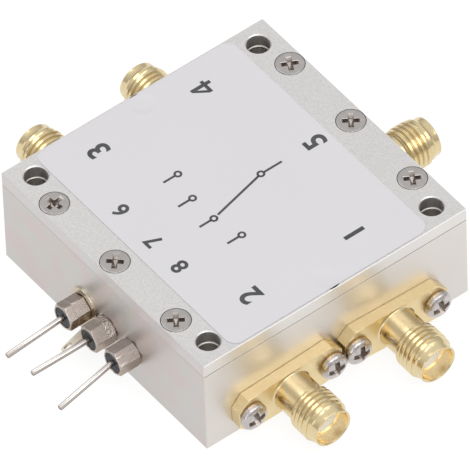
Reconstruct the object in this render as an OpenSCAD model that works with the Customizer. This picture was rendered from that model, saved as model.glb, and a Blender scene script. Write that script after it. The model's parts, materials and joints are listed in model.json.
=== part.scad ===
// Four-way radio frequency switch module: a milled aluminium box with a screwed lid,
// five flanged coaxial jacks, three filtered feedthroughs and a solder lug.
// Millimetres. The origin is the middle of the box's underside, +Z up.
// The side at -Y carries jacks 1 and 2, +Y carries jacks 3 and 4, +X carries jack 5
// and -X carries the feedthroughs.

/* [Housing] */
// Width of the box along X
body_x = 40; // [40:0.5:46]
// Length of the box along Y
body_y = 40; // [40:0.5:46]
// Height of the milled box without its lid
body_h = 13; // [12:0.5:18]
// Thickness of the four side walls
wall_t = 4; // [4:0.1:4.6]
// Thickness of the lid
lid_t = 2; // [1.6:0.1:3]
// Size of the small bevel on the outer edges
edge_break = 0.08; // [0.04:0.04:0.2]
// Corner radius of the milled pocket
pocket_r = 1.5; // [1:0.25:3]

/* [Corner mounting holes] */
// Diameter of the four through holes
hole_d = 3; // [2.8:0.1:3.2]
// Distance of the holes from the two nearest sides
hole_inset = 3; // [2.8:0.1:3.1]
// Width of the bevel at the mouth of each hole
hole_bevel = 0.15; // [0.05:0.05:0.2]
// Metal left round each hole inside the box
hole_boss = 1.5; // [1.2:0.1:2]

/* [Lid screws] */
// Distance between neighbouring lid screws along the two sides
lid_screw_pitch = 12; // [10:0.5:12.5]
// Thread diameter of the lid screws
lid_screw_d = 2; // [1.6:0.1:2.2]
// Overall length of the lid screws
lid_screw_len = 6; // [5:0.5:7]
// Head diameter of the countersunk lid screws
lid_head_d = 3.7; // [3.4:0.1:3.8]
// Height of the countersunk head
lid_head_h = 1.1; // [0.9:0.05:1.3]
// Height of the straight rim at the top of the head
lid_head_rim = 0.2; // [0.1:0.05:0.3]
// How far the six open heads stand above the lid
lid_head_proud = 0.06; // [0.02:0.01:0.08]
// How far the two heads under the label lie below the lid's face
lid_head_sunk = 0.3; // [0.25:0.05:0.4]

/* [Label] */
// Distance from the lid's long sides to the label
label_side = 5; // [4.8:0.1:6]
// Distance from the lid's short sides to the label
label_end = 0.3; // [0.2:0.1:1]
// How far the label sits from the middle along X
label_shift = -0.35; // [-0.4:0.05:0.4]
// Corner radius of the label
label_r = 1.5; // [0.5:0.25:3]
// Thickness of the label
label_t = 0.1; // [0.05:0.05:0.2]
// How far the label sinks over the two covered screw heads
label_dip = 0.15; // [0.05:0.05:0.2]
// Diameter of the flat middle of each sunken spot
label_dip_d = 2; // [1.6:0.1:2.4]

/* [Coaxial jacks] */
// Height of the jack axes above the underside
jack_z = 4; // [3.9:0.1:5]
// How far each pair of jacks sits from the middle along X
jack_offset = -0.3; // [-0.35:0.05:0.35]
// Reach of a jack from the wall to its tip
jack_len = 9.75; // [9:0.05:11]
// Width of the flange
flange_w = 15.7; // [14:0.1:15.8]
// Gap between the two flanges on one side
flange_gap = 0.3; // [0.2:0.05:0.4]
// Height of the flange
flange_h = 5.6; // [5:0.1:6.2]
// Thickness of the flange
flange_t = 1.65; // [1.5:0.05:2]
// Size of the flange's cut corners
flange_corner = 1.5; // [1:0.1:2]
// Distance from the flange's two ends to its screws
flange_hole_edge = 1.75; // [1.7:0.05:2.1]
// Diameter of the clearance holes in the flange
flange_hole_d = 2.2; // [2.15:0.05:2.4]
// Diameter of the smooth neck behind the thread
neck_d = 5.3; // [5:0.1:5.6]
// Length of the smooth neck in front of the flange
neck_len = 3.25; // [2.6:0.05:3.6]
// Radius of the fillet where the neck meets the flange
neck_fillet = 0.3; // [0.1:0.05:0.5]
// Diameter over the thread
thread_d = 6.2; // [5.9:0.05:6.35]
// Length of the taper between the neck and the thread
thread_run_out = 0.6; // [0.45:0.05:0.9]
// Length of the taper between the thread and the tip
thread_lead_in = 0.95; // [0.5:0.05:1.2]
// Length of the plain ring at the tip
tip_len = 0.85; // [0.6:0.05:1.2]
// Diameter of the plain ring at the tip
tip_d = 5.3; // [5:0.1:5.6]
// Diameter of the socket bore
bore_d = 4.6; // [4.5:0.02:4.7]
// Depth of the socket bore
bore_depth = 1.95; // [1.8:0.05:2.2]
// Diameter of the white insulator
insulator_d = 4.1; // [3.9:0.05:4.2]
// Diameter of the centre contact
contact_d = 1.27; // [1.2:0.01:1.35]
// Distance of the contact's mouth behind the insulator face
contact_recess = 0.05; // [0:0.01:0.2]
// Diameter of the contact's socket
socket_d = 0.92; // [0.9:0.01:0.96]
// Depth of the contact's socket
socket_depth = 2.6; // [2:0.1:3]
// Width of the slots that part the contact's fingers
slot_w = 0.2; // [0.1:0.02:0.26]
// Diameter of the solder tail
tail_d = 0.9; // [0.7:0.05:1]
// Reach of the solder tail inside the box
tail_len = 1.8; // [1.6:0.1:2.4]

/* [Flange screws] */
// Thread diameter of the flange screws, drawn at the mean of the thread
flange_screw_d = 1.74; // [1.6:0.02:1.8]
// Length of the flange screws under the head
flange_screw_len = 5; // [4:0.5:5]
// Head diameter of the flange screws
pan_head_d = 3.7; // [3.4:0.1:3.8]
// Head height of the flange screws
pan_head_h = 1.35; // [1.2:0.05:1.6]

/* [Feedthroughs] */
// Height of the feedthroughs above the jack axes
feed_rise = 1.1; // [1.1:0.1:2]
// Distance between neighbouring feedthroughs
feed_pitch = 4.75; // [4.6:0.05:5.2]
// How far the row sits from the middle along Y
feed_offset = -0.85; // [-1:0.05:1]
// Distance across the flats of the hexagon
hex_af = 3.3; // [3.2:0.05:3.5]
// How far inside the flats the hexagon's ends are turned round
hex_turn_in = 0.05; // [0.02:0.01:0.08]
// Reach of a feedthrough's hexagon from its seat
feed_reach = 3.1; // [2.8:0.1:3.6]
// Thickness of the short hexagon on the first feedthrough
short_head = 1.2; // [1:0.05:1.4]
// Diameter of the threaded shank
shank_d = 2.5; // [2.3:0.05:2.6]
// Reach of the shank beyond the inside of the wall
shank_end = 1; // [0.6:0.1:1.2]
// Diameter of the resin cup in the hexagon's face
cup_d = 2.9; // [2.7:0.05:3]
// Depth of the resin cup
cup_depth = 1; // [0.8:0.05:1.1]
// Distance of the resin behind the hexagon's face
resin_recess = 0.1; // [0:0.05:0.2]
// Thickness of the resin at the inner end
resin_inner = 0.8; // [0.5:0.1:0.9]
// Outer diameter of the tubular ceramic capacitor
capacitor_d = 1.9; // [1.7:0.05:2]
// Diameter of the leads
lead_d = 0.6; // [0.5:0.05:0.7]
// Length of the leads beyond their bend outside
lead_len = 8.3; // [6:0.1:12]
// Radius of the leads' inner knee, at its middle line
knee_r = 0.9; // [0.6:0.1:1.5]
// Distance of the lead's inner leg from the wall
leg_in = 1.8; // [1.6:0.1:2.4]

/* [Solder lug] */
// Thickness of the lug
lug_t = 0.3; // [0.2:0.05:0.4]
// Outer diameter of the ring
lug_ring_d = 4.9; // [4.6:0.1:5.2]
// Diameter of the hole in the ring
lug_hole_d = 3.2; // [3.2:0.05:3.4]
// Distance from the ring's middle to the bend
lug_bend_at = 2.35; // [2.2:0.05:2.6]
// Inner radius of the lug's bend
lug_bend_r = 0.5; // [0.3:0.05:0.8]
// Length of the tongue outside the bend
lug_tongue = 4.6; // [4:0.1:6]
// Width of the tongue at the bend
lug_wide = 2.8; // [2.4:0.1:3.2]
// Width of the tongue at its tip
lug_narrow = 1.9; // [1.6:0.1:2.2]
// Angle between the tongue and the wall
lug_angle = 80; // [60:5:85]
// Turn of the tongue about the feedthrough, away from straight down
lug_turn = 35; // [25:5:40]
// Diameter of the wire hole near the tongue's tip
lug_eye_d = 1.2; // [0.6:0.1:1.3]

/* [Circuit board] */
// Thickness of the board
board_t = 0.8; // [0.5:0.1:1]
// Gap between the board and the pocket's walls
board_gap = 0.3; // [0.2:0.05:0.6]
// Side of the square switch chip
chip_w = 4; // [3:0.5:5]
// Height of the switch chip
chip_h = 0.9; // [0.7:0.05:1.1]
// Diameter of the board's screw holes
board_hole_d = 2.2; // [2:0.1:2.6]
// Thread diameter of the board screws, drawn at the mean of the thread
board_screw_d = 1.74; // [1.6:0.02:1.9]
// Length of the board screws under the head
board_screw_len = 3; // [2.5:0.25:3]
// Distance of the board screws from the middle along X
board_screw_x = 11.5; // [10:0.5:12]
// Distance of the board screws from the middle along Y
board_screw_y = 9.5; // [9:0.5:10]

/* [Hidden] */
JACKS = 5;
FEEDS = 3;

$fn = 64;
// How far a cutter runs on past the faces it opens, and a hair for cutters that meet
past = 1;
eps = 0.01;
clearance = 0.05;
sink_clearance = 0.06;
thread_room = 0.4;
bend_swell = 0.02;
recess_share = [0.55, 0.11, 0.6];

total_h = body_h + lid_t;
pocket_x = body_x - 2 * wall_t;
pocket_y = body_y - 2 * wall_t;
boss_r = hole_d / 2 + hole_boss;
board_top = jack_z - tail_d / 2;
floor_t = board_top - board_t;
hole_x = body_x / 2 - hole_inset;
hole_y = body_y / 2 - hole_inset;
screw_x = body_x / 2 - wall_t / 2;
screw_y = body_y / 2 - wall_t / 2;
feed_z = jack_z + feed_rise;

// Each jack's wall point and its turn about Z: the jack's own +Z leaves the wall
jack_right = jack_offset + (flange_w + flange_gap) / 2;
jack_left = jack_offset - (flange_w + flange_gap) / 2;
jack_place = [
    [jack_right, -body_y / 2, 0],
    [jack_left, -body_y / 2, 0],
    [jack_left, body_y / 2, 180],
    [jack_right, body_y / 2, 180],
    [body_x / 2, 0, 90]];

// How far each flange is turned on its jack's axis, in degrees, and where its screws sit in their play
flange_turn = [-2.8, 2.8, 0, 0, 0];
screw_turn = flange_turn / 2;

// Each feedthrough's seat, its hexagon's thickness and the turn of its flats.
// The first one is clamped by the lug's nut, a little out of line with the hexagon
feed_seat = [lug_t, 0, 0];
feed_head = [short_head, feed_reach, feed_reach];
feed_turn = [39.4, 43.3, 40.6];
nut_turn = 37.4;

// How far each lead leans outside, in degrees, and to which side: -90 is down, 0 is -Y
lead_lean = [6, 1, 8.6];
lead_side = [-90, -90, -31.7];
// How much longer than the others each lead was left
lead_more = [0, 0, 0.45];

// The lug hangs out of centre on its shank by this much along -Y and +Z
lug_skew = [0.15, 0.3];

// Ceramic capacitors on the board: length, width and height, and where they sit
chip_capacitor = [1, 0.5, 0.5];
blocking_reach = 5.5;
bypass_setback = 1.6;

// A jack's stations along its axis, from the wall outwards
neck_end = flange_t + neck_len;
thread_start = neck_end + thread_run_out;
tip_start = jack_len - tip_len;
thread_end = tip_start - thread_lead_in;
insulator_end = jack_len - bore_depth;
contact_end = insulator_end - contact_recess;
lip = 0.12;

module four_corners(x, y) {
    for (sx = [-1, 1], sy = [-1, 1]) translate([sx * x, sy * y, 0]) children();
}

module round_rect(x, y, r) {
    square([x - 2 * r, y], center = true);
    square([x, y - 2 * r], center = true);
    four_corners(x / 2 - r, y / 2 - r) circle(r);
}

// A plate with its four upright edges bevelled
module bevelled_plate(x, y, h, b) {
    linear_extrude(h) polygon([
        [b - x / 2, -y / 2], [x / 2 - b, -y / 2], [x / 2, b - y / 2], [x / 2, y / 2 - b],
        [x / 2 - b, y / 2], [b - x / 2, y / 2], [-x / 2, y / 2 - b], [-x / 2, b - y / 2]]);
}

// The cutters that bevel the four edges round a level face at height z
module rim_cutters(x, y, z, b) {
    side = b * sqrt(2);
    for (s = [-1, 1]) {
        translate([s * x / 2, 0, z]) rotate([0, 45, 0]) cube([side, y + 2 * past, side], center = true);
        translate([0, s * y / 2, z]) rotate([45, 0, 0]) cube([x + 2 * past, side, side], center = true);
    }
}

// A round hole through level faces, bevelled at its upper and lower mouths
module bevelled_hole(d, z0, z1, b) {
    translate([0, 0, z0 - past]) cylinder(h = z1 - z0 + 2 * past, d = d);
    translate([0, 0, z1 - b]) cylinder(h = b + eps, d1 = d, d2 = d + 2 * b + 2 * eps);
    translate([0, 0, z0 - eps]) cylinder(h = b + eps, d1 = d + 2 * b + 2 * eps, d2 = d);
}

module at_jack(i) {
    p = jack_place[i - 1];
    translate([p[0], p[1], jack_z]) rotate([90, 0, p[2]]) children();
}

module at_feed(i) {
    y = feed_offset + feed_pitch * (2 - i);
    translate([-body_x / 2, y, feed_z]) rotate([90, 0, -90]) children();
}

module at_flange_screws(turn) {
    rotate(turn) for (s = [-1, 1])
        translate([s * (flange_w / 2 - flange_hole_edge), 0, 0]) children();
}

module at_open_screws() {
    for (sx = [-1, 1], k = [-1:1]) translate([sx * screw_x, k * lid_screw_pitch, 0]) children();
}

module at_covered_screws() {
    for (s = [-1, 1]) translate([0, s * screw_y, 0]) children();
}

module housing() {
    flange_hole = flange_screw_len - flange_t + clearance;
    lid_hole = lid_screw_len - lid_t + lid_head_sunk + thread_room;
    board_hole = board_screw_len - board_t + clearance;
    color("gainsboro") difference() {
        bevelled_plate(body_x, body_y, body_h, edge_break);
        rim_cutters(body_x, body_y, body_h, edge_break);
        rim_cutters(body_x, body_y, 0, edge_break);
        // The milled pocket leaves a boss round each corner hole
        translate([0, 0, floor_t]) linear_extrude(body_h) difference() {
            round_rect(pocket_x, pocket_y, pocket_r);
            four_corners(hole_x, hole_y) circle(boss_r);
        }
        four_corners(hole_x, hole_y) bevelled_hole(hole_d, 0, body_h, hole_bevel);
        translate([0, 0, body_h - lid_hole]) {
            at_open_screws() cylinder(h = lid_hole + past, d = lid_screw_d);
            at_covered_screws() cylinder(h = lid_hole + past, d = lid_screw_d);
        }
        four_corners(board_screw_x, board_screw_y)
            translate([0, 0, floor_t - board_hole]) cylinder(h = board_hole + past, d = board_screw_d);
        for (i = [1:JACKS]) at_jack(i) {
            translate([0, 0, -wall_t - past])
                cylinder(h = wall_t + 2 * past, d = insulator_d + 2 * clearance);
            at_flange_screws(screw_turn[i - 1]) translate([0, 0, -flange_hole])
                cylinder(h = flange_hole + past, d = flange_screw_d);
        }
        for (i = [1:FEEDS]) at_feed(i)
            translate([0, 0, -wall_t - past]) cylinder(h = wall_t + 2 * past, d = shank_d);
    }
}

// The cutter for a lid screw whose head ends at height top above the lid's underside
module screw_sink(top) {
    shank_r = lid_screw_d / 2 + sink_clearance;
    head_r = lid_head_d / 2 + sink_clearance;
    translate([0, 0, -past]) cylinder(h = lid_t + 2 * past, d = lid_screw_d + 2 * clearance);
    translate([0, 0, top - lid_head_h]) rotate_extrude() polygon([
        [0, 0], [shank_r, 0], [head_r, lid_head_h - lid_head_rim], [head_r, lid_t], [0, lid_t]]);
}

module lid() {
    color("silver") translate([0, 0, body_h]) difference() {
        bevelled_plate(body_x, body_y, lid_t, edge_break);
        rim_cutters(body_x, body_y, 0, edge_break);
        rim_cutters(body_x, body_y, lid_t, edge_break);
        four_corners(hole_x, hole_y) bevelled_hole(hole_d, 0, lid_t, hole_bevel);
        at_open_screws() screw_sink(lid_t + lid_head_proud);
        at_covered_screws() screw_sink(lid_t - lid_head_sunk);
    }
}

// A shallow cone at each covered screw, which gives both faces of the label's sunken spots
module label_dishes(z) {
    at_covered_screws() translate([0, 0, z - label_dip])
        cylinder(h = label_dip + label_t / 2, d1 = label_dip_d, d2 = lid_head_d);
}

module label() {
    label_x = body_x - 2 * label_side;
    label_y = body_y - 2 * label_end;
    color("whitesmoke") translate([0, 0, total_h]) intersection() {
        translate([label_shift, 0, -lid_t]) linear_extrude(2 * lid_t)
            round_rect(label_x, label_y, label_r);
        difference() {
            union() {
                translate([-body_x / 2, -body_y / 2, 0]) cube([body_x, body_y, label_t]);
                label_dishes(0);
            }
            label_dishes(label_t);
        }
    }
}

// The cutter for a cross recess in a screw head of diameter d whose top is at z = 0
module cross_recess(d, h) {
    reach = recess_share[0] * d;
    width = recess_share[1] * d;
    depth = recess_share[2] * h;
    for (a = [0, 90]) rotate(a)
        translate([-reach / 2, -width / 2, -depth]) cube([reach, width, depth + past]);
}

// A countersunk screw whose top is at z = 0
module lid_screw() {
    difference() {
        rotate_extrude() polygon([
            [0, -lid_screw_len], [lid_screw_d / 2, -lid_screw_len], [lid_screw_d / 2, -lid_head_h],
            [lid_head_d / 2, -lid_head_rim], [lid_head_d / 2, 0], [0, 0]]);
        cross_recess(lid_head_d, lid_head_h);
    }
}

module lid_screws() {
    color("lightgray") {
        at_open_screws() translate([0, 0, total_h + lid_head_proud]) lid_screw();
        at_covered_screws() translate([0, 0, total_h - lid_head_sunk]) lid_screw();
    }
}

module flange_outline() {
    x = flange_w / 2;
    y = flange_h / 2;
    c = flange_corner;
    polygon([
        [-x, c - y], [c - x, -y], [x - c, -y], [x, c - y],
        [x, y - c], [x - c, y], [c - x, y], [-x, y - c]]);
}

// The outside of the barrel in one turned profile: fillet, neck, thread blank and tip ring
module jack_barrel() {
    neck_r = neck_d / 2;
    tip_r = tip_d / 2;
    fillet_r = neck_r + neck_fillet;
    fillet_z = flange_t + neck_fillet;
    rotate_extrude() {
        difference() {
            square([fillet_r, fillet_z]);
            translate([fillet_r, fillet_z]) circle(neck_fillet);
        }
        polygon([
            [0, 0], [neck_r, 0], [neck_r, neck_end],
            [thread_d / 2, thread_start], [thread_d / 2, thread_end],
            [tip_r, tip_start], [tip_r, jack_len - lip], [tip_r - lip, jack_len], [0, jack_len]]);
    }
}

module jack_shell(i) {
    color("gold") at_jack(i) difference() {
        union() {
            rotate(flange_turn[i - 1]) linear_extrude(flange_t) flange_outline();
            jack_barrel();
        }
        at_flange_screws(flange_turn[i - 1])
            translate([0, 0, -past]) cylinder(h = flange_t + 2 * past, d = flange_hole_d);
        translate([0, 0, -past]) cylinder(h = jack_len, d = insulator_d);
        translate([0, 0, insulator_end]) cylinder(h = bore_depth + past, d = bore_d);
        translate([0, 0, jack_len - lip]) cylinder(h = lip + eps, d1 = bore_d, d2 = bore_d + 2 * lip);
    }
}

module jack_insulator(i) {
    color("ivory") at_jack(i) difference() {
        translate([0, 0, -wall_t]) cylinder(h = wall_t + insulator_end, d = insulator_d);
        translate([0, 0, -wall_t - past]) cylinder(h = wall_t + jack_len, d = contact_d);
    }
}

// The centre contact: a solder tail, a pin and a socket parted into four fingers
module jack_contact(i) {
    color("goldenrod") at_jack(i) difference() {
        union() {
            translate([0, 0, -wall_t]) cylinder(h = wall_t + contact_end, d = contact_d);
            translate([0, 0, -wall_t - tail_len]) cylinder(h = tail_len + eps, d = tail_d);
        }
        translate([0, 0, contact_end - socket_depth]) cylinder(h = socket_depth + past, d = socket_d);
        for (a = [0, 90]) rotate(a) translate([-contact_d, -slot_w / 2, contact_end - socket_depth])
            cube([2 * contact_d, slot_w, socket_depth + past]);
    }
}

// A pan head screw whose seat is at z = 0, with a domed head and a cross recess
module pan_screw(d, len) {
    r = pan_head_d / 2;
    crown = 0.6 * pan_head_h;
    dome_r = (r * r + crown * crown) / (2 * crown);
    difference() {
        union() {
            translate([0, 0, -len]) cylinder(h = len + eps, d = d);
            intersection() {
                cylinder(h = pan_head_h + past, r = r);
                translate([0, 0, pan_head_h - dome_r]) sphere(dome_r, $fn = 128);
            }
        }
        translate([0, 0, pan_head_h]) cross_recess(pan_head_d, pan_head_h);
    }
}

module flange_screws() {
    color("lightgray") for (i = [1:JACKS]) at_jack(i)
        at_flange_screws(screw_turn[i - 1])
            translate([0, 0, flange_t]) pan_screw(flange_screw_d, flange_screw_len);
}

// A hexagon from z0 to z1, turned off to a cone at both ends so that its end faces are round
module turned_hexagon(z0, z1, turn) {
    corner_r = hex_af / 2 / cos(30);
    rim_r = hex_af / 2 - hex_turn_in;
    cone_r = corner_r + hex_turn_in;
    drop = (cone_r - rim_r) * tan(30);
    intersection() {
        translate([0, 0, z0]) rotate(turn) cylinder(h = z1 - z0, r = corner_r, $fn = 6);
        rotate_extrude() polygon([
            [0, z0], [rim_r, z0], [cone_r, z0 + drop],
            [cone_r, z1 - drop], [rim_r, z1], [0, z1]]);
    }
}

// Across a feedthrough's own axes the hexagon's turn is counted from +Y, towards +Z
module feedthrough_body(i) {
    face = feed_seat[i - 1] + feed_reach;
    back = -wall_t - shank_end;
    cup = face - cup_depth;
    color("rosybrown") at_feed(i) difference() {
        union() {
            turned_hexagon(face - feed_head[i - 1], face, 180 - feed_turn[i - 1]);
            translate([0, 0, back]) cylinder(h = cup - back, d = shank_d);
        }
        translate([0, 0, cup]) cylinder(h = cup_depth + past, d = cup_d);
        translate([0, 0, back - past]) cylinder(h = cup - back + 2 * past, d = capacitor_d);
    }
}

module feedthrough_capacitor(i) {
    face = feed_seat[i - 1] + feed_reach;
    back = -wall_t - shank_end + resin_inner;
    color("tan") at_feed(i) difference() {
        translate([0, 0, back]) cylinder(h = face - cup_depth - back, d = capacitor_d);
        translate([0, 0, back - past]) cylinder(h = face - back + 2 * past, d = lead_d);
    }
}

module feedthrough_outer_seal(i) {
    face = feed_seat[i - 1] + feed_reach;
    color("darkslategray") at_feed(i) difference() {
        translate([0, 0, face - cup_depth]) cylinder(h = cup_depth - resin_recess, d = cup_d);
        translate([0, 0, face - cup_depth - past]) cylinder(h = cup_depth + 2 * past, d = lead_d);
    }
}

module feedthrough_inner_seal(i) {
    back = -wall_t - shank_end;
    color("darkslategray") at_feed(i) difference() {
        translate([0, 0, back]) cylinder(h = resin_inner, d = capacitor_d);
        translate([0, 0, back - past]) cylinder(h = resin_inner + 2 * past, d = lead_d);
    }
}

// A lead runs straight through its feedthrough, turns down to the board inside the box
// and leans over a little outside the resin, where a small ball stands for the bend
module feedthrough_lead(i) {
    outer = feed_seat[i - 1] + feed_reach - resin_recess + lead_d / 2;
    inner = knee_r - wall_t - leg_in;
    leg = feed_z - board_top - knee_r;
    color("lightgray") at_feed(i) {
        translate([0, 0, inner]) {
            cylinder(h = outer - inner, d = lead_d);
            translate([0, -knee_r, 0]) rotate([-90, 0, 90])
                rotate_extrude(angle = 90) translate([knee_r, 0]) circle(d = lead_d);
            translate([0, -knee_r, -knee_r]) rotate([90, 0, 0]) cylinder(h = leg, d = lead_d);
        }
        translate([0, 0, outer]) {
            sphere(d = lead_d + bend_swell);
            rotate(lead_side[i - 1]) rotate([0, lead_lean[i - 1], 0])
                cylinder(h = lead_len + lead_more[i - 1], d = lead_d);
        }
    }
}

module lug_nut() {
    color("rosybrown") at_feed(1) difference() {
        turned_hexagon(lug_t, lug_t + feed_reach - short_head, 180 - nut_turn);
        translate([0, 0, -past]) cylinder(h = feed_reach + 2 * past, d = shank_d);
    }
}

// The tongue leaves the ring along its own -Y, rolls through the bend and points outwards
module solder_lug() {
    roll_r = lug_bend_r + lug_t;
    tip_y = lug_narrow / 2 - lug_tongue;
    color("palegoldenrod") at_feed(1) translate([lug_skew[0], lug_skew[1], 0]) rotate(lug_turn) {
        linear_extrude(lug_t) difference() {
            union() {
                circle(d = lug_ring_d);
                translate([-lug_wide / 2, -lug_bend_at]) square([lug_wide, lug_bend_at]);
            }
            circle(d = lug_hole_d);
        }
        translate([0, -lug_bend_at, roll_r]) {
            rotate([0, 90, 0]) rotate(-lug_angle) translate([0, 0, -lug_wide / 2])
                rotate_extrude(angle = lug_angle) translate([lug_bend_r, 0]) square([lug_t, lug_wide]);
            rotate([-lug_angle, 0, 0]) translate([0, 0, -roll_r]) linear_extrude(lug_t) difference() {
                union() {
                    polygon([
                        [-lug_wide / 2, 0], [lug_wide / 2, 0],
                        [lug_narrow / 2, tip_y], [-lug_narrow / 2, tip_y]]);
                    translate([0, tip_y]) circle(d = lug_narrow);
                }
                translate([0, tip_y]) circle(d = lug_eye_d);
            }
        }
    }
}

module circuit_board() {
    color("seagreen") translate([0, 0, floor_t]) linear_extrude(board_t) difference() {
        square([pocket_x - 2 * board_gap, pocket_y - 2 * board_gap], center = true);
        four_corners(hole_x, hole_y) circle(boss_r + board_gap);
        four_corners(board_screw_x, board_screw_y) circle(d = board_hole_d);
    }
}

module board_screws() {
    color("lightgray") four_corners(board_screw_x, board_screw_y)
        translate([0, 0, board_top]) pan_screw(board_screw_d, board_screw_len);
}

module switch_chip() {
    color("dimgray") translate([-chip_w / 2, -chip_w / 2, board_top]) cube([chip_w, chip_w, chip_h]);
}

// One small ceramic capacitor in each signal line between the chip and a jack
module blocking_capacitors() {
    color("tan") for (p = jack_place) {
        tail = p[2] == 90 ? [p[0] - wall_t, p[1]] : [p[0], p[1] - sign(p[1]) * wall_t];
        along = atan2(tail[1], tail[0]);
        translate([blocking_reach * cos(along), blocking_reach * sin(along), board_top]) rotate(along)
            translate([0, 0, chip_capacitor[2] / 2]) cube(chip_capacitor, center = true);
    }
}

// One small ceramic capacitor beside each lead's pad
module bypass_capacitors() {
    color("tan") for (i = [1:FEEDS]) at_feed(i)
        translate([0, board_top - feed_z + chip_capacitor[2] / 2, -wall_t - leg_in - bypass_setback])
            cube([chip_capacitor[1], chip_capacitor[2], chip_capacitor[0]], center = true);
}

housing();
lid();
label();
lid_screws();
for (i = [1:JACKS]) {
    jack_shell(i);
    jack_insulator(i);
    jack_contact(i);
}
flange_screws();
for (i = [1:FEEDS]) {
    feedthrough_body(i);
    feedthrough_capacitor(i);
    feedthrough_outer_seal(i);
    feedthrough_inner_seal(i);
    feedthrough_lead(i);
}
lug_nut();
solder_lug();
circuit_board();
board_screws();
switch_chip();
blocking_capacitors();
bypass_capacitors();
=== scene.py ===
"""Looks of the four-way radio frequency switch module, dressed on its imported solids.

Places come from the frame in metres. Sizes of the modelled pieces are written in millimetres, and
turns and angles in degrees.
"""

import json
import math

import bmesh
import bpy
from mathutils import Matrix, Vector
from mathutils.geometry import delaunay_2d_cdt


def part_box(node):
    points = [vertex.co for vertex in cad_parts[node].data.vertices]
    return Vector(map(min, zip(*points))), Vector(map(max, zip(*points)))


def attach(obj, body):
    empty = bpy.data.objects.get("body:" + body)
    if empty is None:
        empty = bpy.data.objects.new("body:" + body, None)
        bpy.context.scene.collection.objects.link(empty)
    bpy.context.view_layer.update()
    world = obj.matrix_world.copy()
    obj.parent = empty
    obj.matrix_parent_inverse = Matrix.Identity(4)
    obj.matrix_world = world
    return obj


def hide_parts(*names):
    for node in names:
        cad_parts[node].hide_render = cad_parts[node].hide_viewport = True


MM = 0.001
BODY = "root"
JACKS = range(1, 6)
FEEDS = range(1, 4)

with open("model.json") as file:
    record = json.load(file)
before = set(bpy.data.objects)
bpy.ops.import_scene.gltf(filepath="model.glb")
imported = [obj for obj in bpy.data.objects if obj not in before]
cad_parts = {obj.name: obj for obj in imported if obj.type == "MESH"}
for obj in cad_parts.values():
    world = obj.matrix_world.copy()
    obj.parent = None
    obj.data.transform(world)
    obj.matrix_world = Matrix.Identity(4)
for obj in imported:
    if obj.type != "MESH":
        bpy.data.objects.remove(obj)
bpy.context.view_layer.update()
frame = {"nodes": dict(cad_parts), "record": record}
nodes = frame["nodes"]
mounts = {mount["name"]: mount for mount in frame["record"]["mounts"]}

# The photograph's view, recovered from the box's corners: degrees, millimetres and pixels
VIEW_AZIMUTH = -36.126
VIEW_ELEVATION = 48.572
VIEW_ROLL = -2.228
VIEW_DISTANCE = 1577.9
VIEW_CENTRE = (0.1978, -4.5891)
FOCAL_PIXELS = 13000
PHOTO_PIXELS = 470
SENSOR_MM = 36

# Coaxial jack, as in the solids: along its axis from the wall, and across it
FLANGE = (15.7, 5.6, 1.65)
FLANGE_CORNER = 1.5
FLANGE_BEVEL = 0.07
FLANGE_HOLE_EDGE = 1.75
FLANGE_HOLE_R = 1.1
FLANGE_TURNS = {1: -2.8, 2: 2.8, 3: 0, 4: 0, 5: 0}
NECK_R = 2.65
NECK_END = 4.9
NECK_FILLET = 0.3
TIP_R = 2.65
TIP_LEN = 0.85
BORE_R = 2.3
BORE_DEPTH = 1.95
SEAT_R = 2.05
MOUTH_BEVEL = 0.12
TURN_STEPS = 128
SHELL_LOOKS = ("plating", "flange", "bore")

# Thread: the cones that cut it down at its start and end, the height over which a crest fades,
# and one pitch of its section, each point with its share of the pitch and its radius
THREAD_R = 3.1
THREAD_PITCH = 25.4 / 36
THREAD_RUN_OUT = 0.6
THREAD_LEAD_IN = 0.95
THREAD_LEVEL = 0.2
ROOT_R = THREAD_R - 0.27
CREST_EDGE_R = THREAD_R - 0.03
CREST_MIDDLE = 0.53
THREAD_SECTION = [
    (0, ROOT_R), (0.03, ROOT_R - 0.01), (0.06, ROOT_R), (0.26, CREST_EDGE_R),
    (0.30, THREAD_R), (CREST_MIDDLE, THREAD_R), (0.76, THREAD_R), (0.80, CREST_EDGE_R)]

# Screws
SCREW_STEPS = 64
SHANK_BEVEL = 0.2
LID_SCREW = {"head_r": 1.85, "head_h": 1.1, "rim": 0.2, "edge_r": 0.12, "shank_r": 1.0, "len": 6.0}
PAN_SCREW = {"head_r": 1.85, "head_h": 1.35, "side_share": 0.42, "foot": (0.22, 0.2),
             "crown_steps": 10, "shank_r": 0.87, "len": 5.0}
LID_SCREW_PITCH = 12.0
LID_SCREW_TURNS = {
    (1, 1): 62.5, (1, 0): 54, (1, -1): 60,
    (-1, 1): 10, (-1, 0): 46, (-1, -1): 55,
    (0, 1): 20, (0, -1): 35}
FLANGE_SCREW_TURNS = {
    (1, 1): 8, (1, -1): -5, (2, 1): -2, (2, -1): 8, (3, 1): 50,
    (3, -1): 5, (4, 1): 62, (4, -1): 27, (5, 1): 44, (5, -1): 71}

# Cross recesses: reach, width and depth of the cross, how far it starts under the head's top, the
# shares of its reach and width that are left at its waist, where the blunt point begins, the
# radius that holds it and how much of its rim is broken. Its mouth is a little above that start.
LID_RECESS = {"reach": 2.2, "width": 0.6, "depth": 1.0, "under_top": 0, "waist": (0.66, 0.85),
              "within": 1.4, "rim": 0.04}
PAN_RECESS = {"reach": 2.6, "width": 0.7, "depth": 1.0, "under_top": 0.1, "waist": (0.66, 0.8),
              "within": 1.6, "rim": 0.05}
RECESS_MOUTH = (1.08, 1.1)
RECESS_MOUTH_RISE = 0.15
RECESS_WAIST_DEPTH = 0.62
RECESS_RIM_BELOW = 0.35
RECESS_RIM_ANGLE = 35
RECESS_WALL_BELOW = 1.2
RECESS_WALL_SLOPE = 0.7
RECESS_LOOK = 1

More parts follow.
